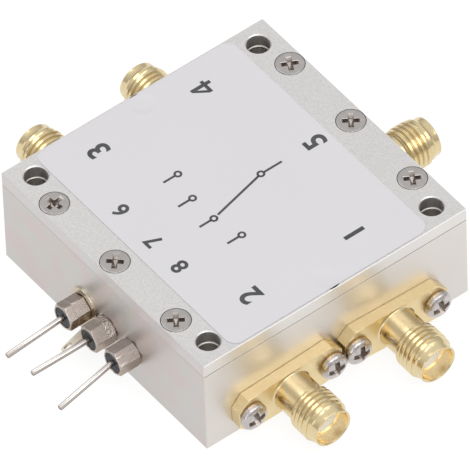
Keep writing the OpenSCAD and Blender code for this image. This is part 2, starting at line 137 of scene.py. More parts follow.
# First feedthrough, along its axis from the wall: the lug, its nut and the head that clamps them
HEX_ACROSS = 3.3
HEX_STEPS = 72
HEX_TURN_IN = 0.05
HEX_TURN_ANGLE = 30
HEX_TURN_LEVELS = (0, 0.08, 0.16, 0.24)
HEX_EDGE_BREAK = 0.09
LUG_T = 0.3
HEAD_FACE = 3.4
HEAD_T = 1.2
HEAD_TURN = 140.6
NUT_TURN = 142.6
SHANK_R = 1.25
SHANK_BACK = -5.0
CUP_R = 1.45
CUP_DEPTH = 1.0
CAPACITOR_R = 0.95

# Leads: inside the feedthroughs and outside, where the tinning makes them thicker. Places are
# measured from the bend. The resin's face is a little inside it, and there they grow thick. They
# lean over on either side of the bend, and end in a soft edge, a little short of the solids.
LEAD_R = 0.3
LEAD_OUTER_R = 0.38
LEAD_START = 0.6
LEAD_KNEE_R = 0.9
LEAD_LEG_IN = 5.8
LEAD_LIFTS = {1: 0.05, 2: 0.2, 3: -0.1}
LEAD_STEPS = 24
LEAD_GROWTH = 0.06
LEAD_LEAN = (0.05, 0.15)
LEAD_SOFT_END = 0.06
LEAD_SHORT = 0.02
RESIN_FACE = 0.3

# Label, and the points that carry its two dips: rings round each, and a row along the near edge
LABEL_CORNER = 1.5
LABEL_CORNER_STEPS = 10
LABEL_T = 0.09
LABEL_MARGIN = 0.02
DIP_DEPTH = 0.15
DIP_INNER = 0.7
DIP_OUTER = 1.95
DIP_RINGS = 14
DIP_RING_GAP = 0.15
DIP_RING_POINTS = 48
DIP_EDGE_GAP = 0.1
DIP_EDGE_REACH = 20

# Print: text, place and height of each numeral
FONT_SIZE_PER_HEIGHT = 1.38
FONT_BOLDNESS = 0.035
PRINT_DROP = 0.002
PRINT_T = 0.006
NUMERALS = [
    ("1", 7.2, -14.6, 2.9), ("2", -8.6, -14.6, 2.9), ("3", -8.6, 15.4, 2.9), ("5", 12.6, 0, 2.9),
    ("6", -12.4, 6.0, 2.2), ("7", -12.4, -0.4, 2.2), ("8", -12.4, -5.6, 2.2)]
# The font fills the middle of its 4, so this one is drawn: its points are shares of its height,
# its middle is at its place, and its faces leave the opening free
FOUR = (7.2, 15.4, 2.9)
FOUR_MIDDLE = (0.37, 0.5)
FOUR_POINTS = [
    (0.42, 0), (0.60, 0), (0.60, 0.22), (0.74, 0.22), (0.74, 0.385), (0.60, 0.385), (0.60, 1.0),
    (0.44, 1.0), (0, 0.385), (0, 0.22), (0.42, 0.22), (0.17, 0.385), (0.42, 0.385), (0.42, 0.75)]
FOUR_FACES = [(0, 1, 2, 10), (2, 3, 4, 5), (10, 2, 5, 12), (12, 5, 6, 7, 13), (9, 10, 12, 11, 8),
              (8, 11, 13, 7)]

# Switch diagram: its pole and throws, their circles and stubs, and the arm to one throw
POLE = (4.2, 0)
THROWS = [(-3.6, -6.3), (-4.6, -2.1), (-4.6, 2.1), (-3.6, 6.3)]
ARM_THROW = 1
CIRCLE_R = 0.55
CIRCLE_WIDTH = 0.3
CIRCLE_STEPS = 40
LINE_WIDTH = 0.32
LINE_START = 0.5
POLE_STUB_END = 3.2
THROW_STUB_END = 2.2
ARM_SHORT = 0.75

# Corner holes in the box, and the height and lean of the bevels round the lid's top, where a
# highlight is painted
HOLE_AT = 17.0
HOLE_R = 1.5
HOLE_BORDER = 0.02
TOP_EDGE_FROM = 14.6
TOP_EDGE_BORDER = 0.1
BEVEL_FACING_UP = (0.6, 0.8)
BEVEL_BORDER = 0.05

# Tones of the aluminium: the shade that gathers in the joint under the lid, brightness and warmth
# of the front and back sides, pinkish and grey blotches of the left and right ones, which are
# darker than the front and back as painted shade, and brightness of the blasted top, its bevels,
# which carry a painted highlight, and the holes' walls
SEAM_TONE = (0.16, 0.14, 0.12)
FRONT_BACK_TINTS = ((1.0, 0.0), (1.09, 0.03))
LEFT_RIGHT_SHADED_TINTS = ((0.885, 0.824, 0.836), (0.849, 0.861, 0.864))
TOP_TINTS = (0.9, 1.1)
TOP_EDGE_HIGHLIGHT_TINT = 1.17
HOLE_TINT = 1.05
BLAST_DEPTH = 0.006
SIDE_RELIEF = 0.12

# How far the roughness of a surface swings with its fine grain
METAL_GLOSS = 0.06
DIELECTRIC_GLOSS = 0.05

# Edge breaks of the solids that stay in view, by their slots
EDGE_BREAKS = {"feedthrough": 0.05, "lug": 0.05}
EDGE_BREAK_ANGLE = 35

# Floor, just under the box, and its own light
FLOOR_HALF_M = 3.0
FLOOR_Z_M = -0.00002
FLOOR_GREY = 0.18
FLOOR_LIGHT = 0.87

# Brightness of the surroundings by how high they are, from level to straight up
WORLD_STOPS = [(0.0, 0.50), (0.25, 0.62), (0.6, 0.88), (1.0, 0.98)]

# Place in metres, side and power of each soft box: overhead in front, front right, low left and
# overhead behind
SOFT_BOXES = [
    ((-0.11, -0.48, 0.75), 0.38, 1.15),
    ((0.34, -0.50, 0.69), 0.50, 0.98),
    ((-0.72, -0.48, 0.25), 0.30, 0.6),
    ((-0.18, 0.48, 0.74), 0.42, 0.86)]


# Places

def metres(*values):
    return Vector(values) * MM


def turned(degrees):
    return Matrix.Rotation(math.radians(degrees), 4, "Z")


def axis_frame(origin, z_axis):
    """The placement of a piece whose own Z is z_axis and whose own Y is straight up."""
    z = Vector(z_axis).normalized()
    x = Vector((0, 0, 1)).cross(z).normalized()
    y = z.cross(x)
    turn = Matrix((x, y, z)).transposed().to_4x4()
    return Matrix.Translation(origin) @ turn


def jack_frame(i):
    """A jack's own frame: the origin on the wall, Z out along the barrel, X along the flange."""
    axis = Vector(mounts[f"jack_{i}_bore"]["axis"])
    low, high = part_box(f"jack_{i}_shell")
    reach = abs(axis.dot(high - low))
    return axis_frame((low + high) / 2 - axis * reach / 2, axis)


# Mesh tools

def circle_points(radius, steps, centre=(0, 0)):
    turn = 2 * math.pi / steps
    return [(centre[0] + radius * math.cos(k * turn), centre[1] + radius * math.sin(k * turn))
            for k in range(steps)]


def arc(centre, radius, start, end, steps):
    """Points (r, z) along an arc, angles in degrees."""
    angles = [math.radians(start + (end - start) * k / steps) for k in range(steps + 1)]
    return [(centre[0] + radius * math.cos(a), centre[1] + radius * math.sin(a)) for a in angles]


def ring(bm, radius, z, steps, centre=(0, 0)):
    if radius < 1e-6:
        return [bm.verts.new(metres(centre[0], centre[1], z))] * steps
    return [bm.verts.new(metres(x, y, z)) for x, y in circle_points(radius, steps, centre)]


def bridge(bm, low, high):
    """Faces between two rings of as many points; a ring of one point becomes a fan."""
    count = len(low)
    for k in range(count):
        n = (k + 1) % count
        corners = []
        for vert in (low[k], low[n], high[n], high[k]):
            if vert not in corners:
                corners.append(vert)
        if len(corners) > 2:
            bm.faces.new(corners)


def skin(bm, rings, closed=False):
    """Faces from each ring to the next, and from the last to the first where it is closed."""
    for low, high in zip(rings, rings[1:] + (rings[:1] if closed else [])):
        bridge(bm, low, high)


def lathe(bm, profile, steps, centre=(0, 0)):
    skin(bm, [ring(bm, r, z, steps, centre) for r, z in profile])


def flat_layer(bm):
    return bm.faces.layers.int.get("flat") or bm.faces.layers.int.new("flat")


def inside_circle(point, hole):
    radius, centre, steps = hole
    away = math.hypot(point[0] - centre[0], point[1] - centre[1])
    return away < radius * math.cos(math.pi / steps)


def loop_edges(count, first=0):
    """The edges of a closed loop of points whose numbers start with first."""
    return [(first + k, first + (k + 1) % count) for k in range(count)]


def triangles(points, edges):
    """The points and triangles that fill a level area and keep its edges."""
    found, _, faces, _, _, _ = delaunay_2d_cdt([Vector(p) for p in points], edges, [], 0, 1e-7)
    return found, faces


def plate_face(bm, outline, holes, z, upwards=True):
    """A level face with a convex outline and round holes, each (radius, centre, steps)."""
    points, edges = [], []
    for loop in [outline] + [circle_points(r, steps, centre) for r, centre, steps in holes]:
        edges += loop_edges(len(loop), len(points))
        points += loop
    found, faces = triangles(points, edges)
    verts = [bm.verts.new(metres(p[0], p[1], z)) for p in found]
    flat = flat_layer(bm)
    for corners in faces:
        middle = [sum(found[c][axis] for c in corners) / len(corners) for axis in (0, 1)]
        if any(inside_circle(middle, hole) for hole in holes):
            continue
        face = bm.faces.new([verts[c] for c in (corners if upwards else reversed(corners))])
        face[flat] = 1


def loop_wall(bm, low, high):
    """The wall between two loops of (x, y, z) points."""
    bridge(bm, [bm.verts.new(metres(*p)) for p in low], [bm.verts.new(metres(*p)) for p in high])


def thicken(bm, depth):
    """Make a level sheet into a plate that reaches down by the depth."""
    sheet = bmesh.ops.extrude_face_region(bm, geom=list(bm.faces))
    for vert in [g for g in sheet["geom"] if isinstance(g, bmesh.types.BMVert)]:
        vert.co.z -= depth * MM


def weld(bm):
    bmesh.ops.remove_doubles(bm, verts=bm.verts, dist=2e-5 * MM)
    loose = [v for v in bm.verts if not v.link_faces]
    bmesh.ops.delete(bm, geom=loose, context="VERTS")
    bmesh.ops.recalc_face_normals(bm, faces=bm.faces)


def shade(bm, sharp):
    """Smooth faces with sharp edges where the surface turns by more than that many degrees."""
    flat = flat_layer(bm)
    for face in bm.faces:
        face.smooth = True
    for edge in bm.edges:
        pair = edge.link_faces
        edge.smooth = (len(pair) == 2 and pair[0][flat] == pair[1][flat]
                       and edge.calc_face_angle(0) < math.radians(sharp))


def to_mesh(bm, name, sharp):
    weld(bm)
    shade(bm, sharp)
    mesh = bpy.data.meshes.new(name)
    bm.to_mesh(mesh)
    bm.free()
    return mesh


def carved(body, cutter):
    """The closed mesh body with the closed mesh cutter taken out of it."""
    objects = []
    for bm in (body, cutter):
        mesh = bpy.data.meshes.new("carving")
        weld(bm)
        bm.to_mesh(mesh)
        bm.free()
        objects.append(bpy.data.objects.new("carving", mesh))
        bpy.context.scene.collection.objects.link(objects[-1])
    cut = objects[0].modifiers.new("cut", "BOOLEAN")
    cut.operation = "DIFFERENCE"
    cut.solver = "EXACT"
    cut.object = objects[1]
    depsgraph = bpy.context.evaluated_depsgraph_get()
    result = bmesh.new()
    result.from_mesh(objects[0].evaluated_get(depsgraph).to_mesh())
    for obj in objects:
        mesh = obj.data
        bpy.data.objects.remove(obj)
        bpy.data.meshes.remove(mesh)
    return result


def repeated(template, places, name, sharp):
    """One mesh with a copy of the template at each placement."""
    source = bpy.data.meshes.new("template")
    template.to_mesh(source)
    template.free()
    joined = bmesh.new()
    for place in places:
        copy = source.copy()
        copy.transform(place)
        joined.from_mesh(copy)
        bpy.data.meshes.remove(copy)
    bpy.data.meshes.remove(source)
    return to_mesh(joined, name, sharp)


def soften(obj, width):
    """Break the sharp edges of a solid, which stays within its own faces."""
    join = obj.modifiers.new("join", "WELD")
    join.merge_threshold = 1e-6
    edge = obj.modifiers.new("edge_break", "BEVEL")
    edge.width = width * MM
    edge.segments = 2
    edge.limit_method = "ANGLE"
    edge.angle_limit = math.radians(EDGE_BREAK_ANGLE)
    edge.harden_normals = False


def piece(name, mesh, looks, replaced=(), place=None):
    """Add a piece that rides on the box. Looks are the names of its mesh's materials."""
    obj = bpy.data.objects.new(name, mesh)
    bpy.context.scene.collection.objects.link(obj)
    if not mesh.materials:
        for look in looks:
            mesh.materials.append(materials[look])
    if place is not None:
        obj.matrix_world = place
    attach(obj, BODY)
    if replaced:
        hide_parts(*replaced)
    return obj


# Materials

class Finish:
    """A material whose colour, gloss and relief come from nodes. Lengths are in millimetres."""

    def __init__(self, name):
        self.material = bpy.data.materials.new(name)
        self.material.use_nodes = True
        self.tree = self.material.node_tree
        self.shader = self.tree.nodes["Principled BSDF"]
        self.coordinates = self.tree.nodes.new("ShaderNodeTexCoord")

    def link(self, source, target):
        self.tree.links.new(source, target)

    def set(self, **values):
        for key, value in values.items():
            self.shader.inputs[key.replace("_", " ")].default_value = value

    def noise(self, size, detail, shift, stretch=(1, 1, 1)):
        """Noise whose grains are about size across, drawn out along the axes with a high stretch."""
        mapping = self.tree.nodes.new("ShaderNodeMapping")
        mapping.inputs["Scale"].default_value = [1 / (size * MM * s) for s in stretch]
        mapping.inputs["Location"].default_value = (shift, shift * 0.7, -shift)
        self.link(self.coordinates.outputs["Object"], mapping.inputs["Vector"])
        texture = self.tree.nodes.new("ShaderNodeTexNoise")
        texture.inputs["Scale"].default_value = 1
        texture.inputs["Detail"].default_value = detail
        self.link(mapping.outputs["Vector"], texture.inputs["Vector"])
        return texture.outputs["Fac"]

    def ranged(self, value, low, high, start=0.3, end=0.7):
        """From low where the value is at start to high where it is at end, and level beyond."""
        node = self.tree.nodes.new("ShaderNodeMapRange")
        node.inputs["From Min"].default_value = start
        node.inputs["From Max"].default_value = end
        node.inputs["To Min"].default_value = low
        node.inputs["To Max"].default_value = high
        self.link(value, node.inputs["Value"])
        return node.outputs["Result"]

    def blend(self, fac, first, second):
        node = self.tree.nodes.new("ShaderNodeMix")
        node.data_type = "RGBA"
        for socket, value in (("A", first), ("B", second)):
            target = [s for s in node.inputs if s.name == socket and s.type == "RGBA"][0]
            if isinstance(value, bpy.types.NodeSocket):
                self.link(value, target)
            else:
                target.default_value = (*value, 1)
        self.link(fac, node.inputs["Factor"])
        return [s for s in node.outputs if s.type == "RGBA"][0]

    def colour(self, socket):
        self.link(socket, self.shader.inputs["Base Color"])

    def roughness(self, socket):
        self.link(socket, self.shader.inputs["Roughness"])

    def relief(self, height, depth, strength=1.0, under=None):
        node = self.tree.nodes.new("ShaderNodeBump")
        node.inputs["Distance"].default_value = depth * MM
        if isinstance(strength, bpy.types.NodeSocket):
            self.link(strength, node.inputs["Strength"])
        else:
            node.inputs["Strength"].default_value = strength
        if under is not None:
            self.link(under, node.inputs["Normal"])
        self.link(height, node.inputs["Height"])
        self.link(node.outputs["Normal"], self.shader.inputs["Normal"])
        return node.outputs["Normal"]

    def facing(self, axis):
        geometry = self.tree.nodes.new("ShaderNodeNewGeometry")
        parts = self.tree.nodes.new("ShaderNodeSeparateXYZ")
        self.link(geometry.outputs["Normal"], parts.inputs["Vector"])
        return parts.outputs[axis]

    def place(self, axis):
        """The object's own coordinate along an axis, in metres."""
        parts = self.tree.nodes.new("ShaderNodeSeparateXYZ")
        self.link(self.coordinates.outputs["Object"], parts.inputs["Vector"])
        return parts.outputs[axis]

    def math(self, operation, first, second=None):
        node = self.tree.nodes.new("ShaderNodeMath")
        node.operation = operation
        for socket, value in zip(node.inputs, (first, second)):
            if isinstance(value, bpy.types.NodeSocket):
                self.link(value, socket)
            elif value is not None:
                socket.default_value = value
        return node.outputs["Value"]

    def band(self, value, low, high, border):
        """1 where a value lies between two limits, 0 further from them than the soft border."""
        above = self.ranged(value, 0, 1, low - border, low)
        below = self.ranged(value, 1, 0, high, high + border)
        return self.math("MULTIPLY", above, below)

    def between(self, axis, low, high):
        """1 between two places along an axis, with a soft border of 0.2 mm, 0 beyond."""
        return self.band(self.place(axis), low * MM, high * MM, 0.2 * MM)

    def top_bevel_highlight(self):
        """1 on the bevels round the top face and its holes, which get a painted highlight, 0 elsewhere.
        """
        bevel = self.band(self.facing("Z"), *BEVEL_FACING_UP, BEVEL_BORDER)
        low = (TOP_EDGE_FROM - TOP_EDGE_BORDER) * MM
        high_up = self.ranged(self.place("Z"), 0, 1, low, TOP_EDGE_FROM * MM)
        return self.math("MULTIPLY", bevel, high_up)

    def in_corner_hole(self):
        """1 on the walls of the four corner holes, 0 elsewhere."""
        away = [self.math("SUBTRACT", self.math("ABSOLUTE", self.place(axis)), HOLE_AT * MM)
                for axis in ("X", "Y")]
        square = self.math("ADD", *[self.math("MULTIPLY", a, a) for a in away])
        outside = (HOLE_R + HOLE_BORDER) * MM
        return self.ranged(self.math("SQRT", square), 1, 0, HOLE_R * MM, outside)

    def facing_up(self):
        """1 on level faces that look up, 0 on the sides."""
        return self.ranged(self.facing("Z"), 0, 1, start=0.8, end=0.95)

    def facing_x(self, start=0.6, end=0.9):
        """1 on the sides that look along X, 0 on the others."""
        return self.ranged(self.math("ABSOLUTE", self.facing("X")), 0, 1, start, end)


def tinted(colour, factor, warmth=0.0):
    """The colour made brighter by the factor, with red up and blue down by the warmth."""
    return [min(1, c * factor * (1 + turn * warmth)) for c, turn in zip(colour, (1, 0, -1))]


def metal(name, colour, rough, grain=0.15, depth=0.002, spread=0.05, stretch=(1, 1, 1), cloud=3.0,
          underside_shade=None, scuffs=None):
    """A metal with a fine grain, slow changes of tone over it, and painted shade underneath if given.

    Scuffs give the two places along X and along Y that they lie between, and their depth.
    """
    finish = Finish(name)
    finish.set(Metallic=1.0)
    slow = finish.noise(cloud, detail=2, shift=3.1)
    tone = finish.blend(slow, tinted(colour, 1 - spread), tinted(colour, 1 + spread))
    # Painted shade: faces that look down take the darker colour given for the underside
    if underside_shade:
        looks_up = finish.ranged(finish.facing("Z"), 0, 1, start=-0.3, end=0.7)
        tone = finish.blend(looks_up, underside_shade, tone)
    finish.colour(tone)
    fine = finish.noise(grain, detail=3, stretch=stretch, shift=7.7)
    finish.roughness(finish.ranged(fine, rough - METAL_GLOSS, rough + METAL_GLOSS))
    under = finish.relief(fine, depth)
    if scuffs:
        near_x, near_y, scuff_depth = scuffs
        near = finish.math("MULTIPLY", finish.between("X", *near_x), finish.between("Y", *near_y))
        dents = finish.ranged(finish.noise(0.32, detail=2, shift=9.4), 0, 1, start=0.42, end=0.58)
        finish.relief(dents, scuff_depth, near, under)
    return finish.material


def aluminium(name, colour, side_rough, top_rough, seam):
    """Bead blasted on its level faces, milled and smoother on its sides.

    The joint shows as a dark line on the front and back only. Seam gives the heights where that
    line is at its darkest and where it ends.
    """
    finish = Finish(name)
    finish.set(Metallic=1.0)
    top = finish.facing_up()
    cloud = finish.noise(6, detail=2, shift=1.3)
    speckle = finish.noise(0.16, detail=2, shift=5.1)
    across = finish.facing_x()
    front_back = finish.blend(cloud, *[tinted(colour, *tint) for tint in FRONT_BACK_TINTS])
    blotches = finish.ranged(finish.noise(2.6, detail=3, shift=2.2), 0, 1, start=0.4, end=0.6)
    # Painted shade: the left and right sides take darker tints than the front and back
    tints = [[c * f for c, f in zip(colour, tint)] for tint in LEFT_RIGHT_SHADED_TINTS]
    left_right_shaded = finish.blend(blotches, *tints)
    sides = finish.blend(across, front_back, left_right_shaded)
    past_seam = finish.ranged(finish.place("Z"), 0, 1, seam[0] * MM, seam[1] * MM)
    clear = finish.math("MAXIMUM", finish.facing_x(start=0.3, end=0.5), past_seam)
    sides = finish.blend(clear, SEAM_TONE, sides)
    blasted = finish.blend(finish.ranged(speckle, 0, 1), *[tinted(colour, f) for f in TOP_TINTS])
    tone = finish.blend(top, sides, blasted)
    hole = finish.in_corner_hole()
    # Painted highlight: the bevels round the lid's top and its holes are lightened
    tone = finish.blend(finish.top_bevel_highlight(), tone, tinted(colour, TOP_EDGE_HIGHLIGHT_TINT))
    finish.colour(finish.blend(hole, tone, tinted(colour, HOLE_TINT)))
    blasted_or_hole = finish.math("MAXIMUM", top, hole)
    finish.roughness(finish.ranged(blasted_or_hole, side_rough, top_rough, start=0, end=1))
    finish.relief(speckle, BLAST_DEPTH, finish.ranged(top, SIDE_RELIEF, 1.0, start=0, end=1))
    return finish.material


def dielectric(name, dark, light, rough, grain=0.4, depth=0.002, cloud=2.0, shine=0.5):
    finish = Finish(name)
    slow = finish.noise(cloud, detail=3, shift=2.3)
    finish.colour(finish.blend(finish.ranged(slow, 0, 1), dark, light))
    fine = finish.noise(grain, detail=3, shift=6.1)
    finish.roughness(finish.ranged(fine, rough - DIELECTRIC_GLOSS, rough + DIELECTRIC_GLOSS))
    finish.set(Specular_IOR_Level=shine)
    finish.relief(fine, depth)
    return finish.material


def gold_plating(name, dark, light, rough, depth, marks, drawn_out):
    """Bright gold over a turned or milled surface: fine marks drawn out along the jack's axis."""
    finish = Finish(name)
    finish.set(Metallic=1.0)
    slow = finish.noise(2.5, detail=2, shift=1.9)
    finish.colour(finish.blend(slow, dark, light))
    fine = finish.noise(marks, detail=3, stretch=(1, 1, drawn_out), shift=4.3)
    finish.roughness(finish.ranged(fine, *rough))
    finish.relief(fine, depth)
    return finish.material


def film():
    """Silver-white polyester film with a soft sheen."""
    finish = Finish("label_film")
    slow = finish.noise(9, detail=2, shift=0.7)
    finish.colour(finish.blend(slow, (0.609, 0.596, 0.617), (0.623, 0.61, 0.631)))
    fine = finish.noise(0.3, detail=2, shift=8.3)
    finish.roughness(finish.ranged(fine, 0.42, 0.48))
    finish.relief(fine, 0.0004)
    return finish.material


materials = {
    "housing": aluminium("milled_aluminium", (0.655, 0.63, 0.603), side_rough=0.40, top_rough=0.45,
                         seam=(12.97, 12.94)),
    "lid": aluminium("blasted_aluminium", (0.685, 0.672, 0.66), side_rough=0.38, top_rough=0.45,
                     seam=(13.10, 13.14)),
    "label": film(),
    "print": dielectric("print_ink", (0.045, 0.045, 0.05), (0.07, 0.07, 0.075), rough=0.55, grain=0.1),
    "lid_screws": metal("stainless_steel", (0.45, 0.425, 0.41), rough=0.28, grain=0.14, depth=0.006,
                        spread=0.12, cloud=0.7),
    "recess": metal("recess_shade", (0.42, 0.37, 0.34), rough=0.30, grain=0.2, depth=0.02, spread=0.3),
    "plating": gold_plating("turned_gold", (0.68, 0.54, 0.30), (0.76, 0.64, 0.40), (0.13, 0.27),
                            depth=0.008, marks=0.28, drawn_out=5),
    "flange": gold_plating("milled_gold", (0.75, 0.585, 0.31), (0.84, 0.70, 0.43), (0.27, 0.42),
                           depth=0.02, marks=0.25, drawn_out=2),
    "insulator": dielectric("fluoropolymer", (0.88, 0.85, 0.80), (0.93, 0.90, 0.86), rough=0.45),
    # Painted light: a lighter copy of the plating for the faces inside the bore
    "bore": gold_plating("bore_gold_painted_light", (0.93, 0.78, 0.50), (0.98, 0.85, 0.58), (0.25, 0.35),
                         depth=0.0012, marks=0.12, drawn_out=20),
    "contact": metal("contact_gold", (0.90, 0.70, 0.36), rough=0.22, grain=0.1),
    "flange_screws": metal("bright_nickel", (0.54, 0.50, 0.485), rough=0.18, grain=0.3, depth=0.055,
                           spread=0.3, cloud=0.6),
    # Dull nickel, with painted shade on its undersides
    "feedthrough": metal("dull_nickel", (0.57, 0.51, 0.47), rough=0.30, grain=0.09, depth=0.007,
                         stretch=(12, 1, 1), spread=0.16, cloud=1.0, underside_shade=(0.37, 0.295, 0.235),
                         scuffs=((-21.1, -19.8), (-3.2, 1.5), 0.035)),
    "ceramic": dielectric("sintered_ceramic", (0.42, 0.33, 0.22), (0.5, 0.4, 0.27), rough=0.6,
                          grain=0.1),
    "resin": dielectric("cast_resin", (0.004, 0.005, 0.007), (0.024, 0.031, 0.041), rough=0.14,
                        grain=0.6, depth=0.1, cloud=0.6, shine=0.1),
    # Tinned wire, with painted shade on its undersides
    "lead": metal("tinned_wire", (0.69, 0.65, 0.62), rough=0.24, grain=0.2, depth=0.003,
                  underside_shade=(0.20, 0.14, 0.10)),
    # Tinned brass, with painted shade on its undersides
    "lug": metal("tinned_brass", (0.80, 0.74, 0.60), rough=0.28, grain=0.15, depth=0.003,
                 underside_shade=(0.44, 0.36, 0.26)),
    "board": dielectric("solder_mask", (0.02, 0.12, 0.05), (0.03, 0.16, 0.07), rough=0.35),
    "board_screws": metal("plain_steel", (0.55, 0.54, 0.52), rough=0.28),
    "chip": dielectric("moulded_epoxy", (0.012, 0.012, 0.013), (0.022, 0.022, 0.024), rough=0.55,
                       grain=0.08),
}


# Finish of the solids that are shown as they are

def dress_solids():
    slots = {entry["node"]: entry["material_slot"] for entry in frame["record"]["subparts"]}
    for name, obj in nodes.items():
        obj.data.materials.clear()
        obj.data.materials.append(materials[slots[name]])
        if slots[name] in EDGE_BREAKS:
            soften(obj, EDGE_BREAKS[slots[name]])


# Coaxial jacks

def flange_outline(inset):
    x = FLANGE[0] / 2 - inset
    y = FLANGE[1] / 2 - inset
    c = FLANGE_CORNER - inset * (2 - math.sqrt(2))
    return [(-x, c - y), (c - x, -y), (x - c, -y), (x, c - y),
            (x, y - c), (x - c, y), (c - x, y), (-x, y - c)]


def thread_mesh(bm, start, end, start_r, end_r):
    """A right-hand thread between two plain radii, cut down by a cone towards either end.

    The crests stay level until they are nearly gone.
    """
    rise = (THREAD_R - start_r) / THREAD_RUN_OUT
    fall = (THREAD_R - end_r) / THREAD_LEAD_IN

    def height(pitches):
        return min(max(start + THREAD_PITCH * pitches, start), end)

    def cone_r(z):
        return min(start_r + rise * (z - start), end_r + fall * (end - z))

    samples = len(THREAD_SECTION)
    turns = math.ceil((end - start) / THREAD_PITCH) + 2
    columns = []
    for i in range(TURN_STEPS):
        share = i / TURN_STEPS
        angle = 2 * math.pi * share
        column = []
        for j in range(turns * samples):
            lead = j // samples + share - 1
            station, section_r = THREAD_SECTION[j % samples]
            z = height(lead + station)
            here = cone_r(z)
            level = cone_r(height(lead + CREST_MIDDLE))
            level_share = min(1, max(0, level - end_r) / THREAD_LEVEL)
            r = min(section_r, here + (level - here) * level_share)
            if z in (start, end):
                r = start_r if z == start else end_r
            column.append(bm.verts.new(metres(r * math.cos(angle), r * math.sin(angle), z)))
        columns.append(column)
    for i in range(TURN_STEPS):
        # The last column meets the first one a pitch further on
        shift = samples if i == TURN_STEPS - 1 else 0
        here, there = columns[i], columns[(i + 1) % TURN_STEPS]
        for j in range(turns * samples - 1 - shift):
            corners = (here[j], there[j + shift], there[j + shift + 1], here[j + 1])
            if len({tuple(round(c, 9) for c in vert.co) for vert in corners}) > 2:
                bm.faces.new(corners)


def jack_shell_mesh():
    """A whole shell. Its faces take the flange's material, the bore's or the plating's."""
    width, height, thick = FLANGE
    hole_x = width / 2 - FLANGE_HOLE_EDGE
    length = (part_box("jack_5_shell")[1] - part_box("jack_5_shell")[0]).x / MM
    thread_end = length - TIP_LEN
    bore_floor = length - BORE_DEPTH
    root_r = NECK_R + NECK_FILLET
    bm = bmesh.new()

    screw_holes = [(FLANGE_HOLE_R, (side * hole_x, 0), SCREW_STEPS) for side in (-1, 1)]
    front, back = flange_outline(FLANGE_BEVEL), flange_outline(0)
    plate_face(bm, front, screw_holes + [(root_r, (0, 0), TURN_STEPS)], thick)
    plate_face(bm, front, screw_holes + [(SEAT_R, (0, 0), TURN_STEPS)], 0, upwards=False)
    levels = [(front, 0), (back, FLANGE_BEVEL), (back, thick - FLANGE_BEVEL), (front, thick)]
    for (low, low_z), (high, high_z) in zip(levels, levels[1:]):
        loop_wall(bm, [(*p, low_z) for p in low], [(*p, high_z) for p in high])
    for radius, centre, steps in screw_holes:
        lathe(bm, [(radius, thick), (radius, 0)], steps, centre)
    for face in bm.faces:
        face.material_index = SHELL_LOOKS.index("flange")

    fillet = arc((root_r, thick + NECK_FILLET), NECK_FILLET, 270, 180, 6)
    lathe(bm, fillet + [(NECK_R, NECK_END)], TURN_STEPS)
    thread_mesh(bm, NECK_END, thread_end, NECK_R, TIP_R)
    tip = [(TIP_R, thread_end)]
    tip += arc((TIP_R - MOUTH_BEVEL, length - MOUTH_BEVEL), MOUTH_BEVEL, 0, 90, 4)
    tip += [(BORE_R + MOUTH_BEVEL, length), (BORE_R, length - MOUTH_BEVEL), (BORE_R, bore_floor)]
    tip += [(SEAT_R, bore_floor), (SEAT_R, 0)]
    lathe(bm, tip, TURN_STEPS)
    # The faces inside the bore take the lighter copy of the plating, which is painted light
    for face in bm.faces:
        inside = all(v.co.xy.length < (BORE_R + MOUTH_BEVEL / 2) * MM for v in face.verts)
        if inside and face.material_index == SHELL_LOOKS.index("plating"):
            face.material_index = SHELL_LOOKS.index("bore")
    return to_mesh(bm, "jack_shell", sharp=30)


def dress_jacks():
    mesh = jack_shell_mesh()
    for i in JACKS:
        place = jack_frame(i) @ turned(FLANGE_TURNS[i])
        piece(f"jack_{i}_threaded_shell", mesh, SHELL_LOOKS, [f"jack_{i}_shell"], place)


# Screws

def cross_cutter(recess, top):
    """A cross that narrows with depth and ends in a blunt point."""
    mouth_z = top + RECESS_MOUTH_RISE * recess["depth"]
    waist_z = top - RECESS_WAIST_DEPTH * recess["depth"]
    bm = bmesh.new()
    rings = []
    for (reach_share, width_share), z in ((RECESS_MOUTH, mouth_z), (recess["waist"], waist_z)):
        far = recess["reach"] / 2 * reach_share
        near = recess["width"] / 2 * width_share
        quarter = [(-far, -near), (-near, -near), (-near, -far)]
        loop = []
        for _ in range(4):
            loop += [bm.verts.new(metres(x, y, z)) for x, y in quarter]
            quarter = [(-y, x) for x, y in quarter]
        rings.append(loop)
    mouth, waist = rings
    bridge(bm, mouth, waist)
    point = bm.verts.new(metres(0, 0, top - recess["depth"]))
    bridge(bm, waist, [point] * len(waist))
    bm.faces.new(mouth)
    return bm


def recess_details(bm, top, recess):
    """Break the rim of a carved recess and give its walls the shaded second material."""
    within = recess["within"] * MM
    rim = []
    for edge in bm.edges:
        if len(edge.link_faces) != 2 or any(v.co.xy.length > within for v in edge.verts):
            continue
        if min(v.co.z for v in edge.verts) < (top - RECESS_RIM_BELOW) * MM:
            continue
        if edge.calc_face_angle(0) > math.radians(RECESS_RIM_ANGLE):
            rim.append(edge)
    bmesh.ops.bevel(bm, geom=rim, offset=recess["rim"] * MM, segments=1, affect="EDGES")
    for face in bm.faces:
        inside = all(v.co.xy.length < within for v in face.verts)
        near_top = all(v.co.z > (top - RECESS_WALL_BELOW) * MM for v in face.verts)
        if inside and near_top and abs(face.normal.z) < RECESS_WALL_SLOPE:
            face.material_index = RECESS_LOOK


def screw_template(profile, top, recess):
    """A screw turned from its profile, with its recess in the head's top."""
    bm = bmesh.new()
    lathe(bm, profile, SCREW_STEPS)
    bm = carved(bm, cross_cutter(recess, top - recess["under_top"]))
    recess_details(bm, top, recess)
    return bm


def shank_profile(screw, top):
    """A shank from its bevelled end up to the height where the head begins."""
    radius, length = screw["shank_r"], screw["len"]
    return [(0, -length), (radius - SHANK_BEVEL, -length), (radius, SHANK_BEVEL - length), (radius, top)]


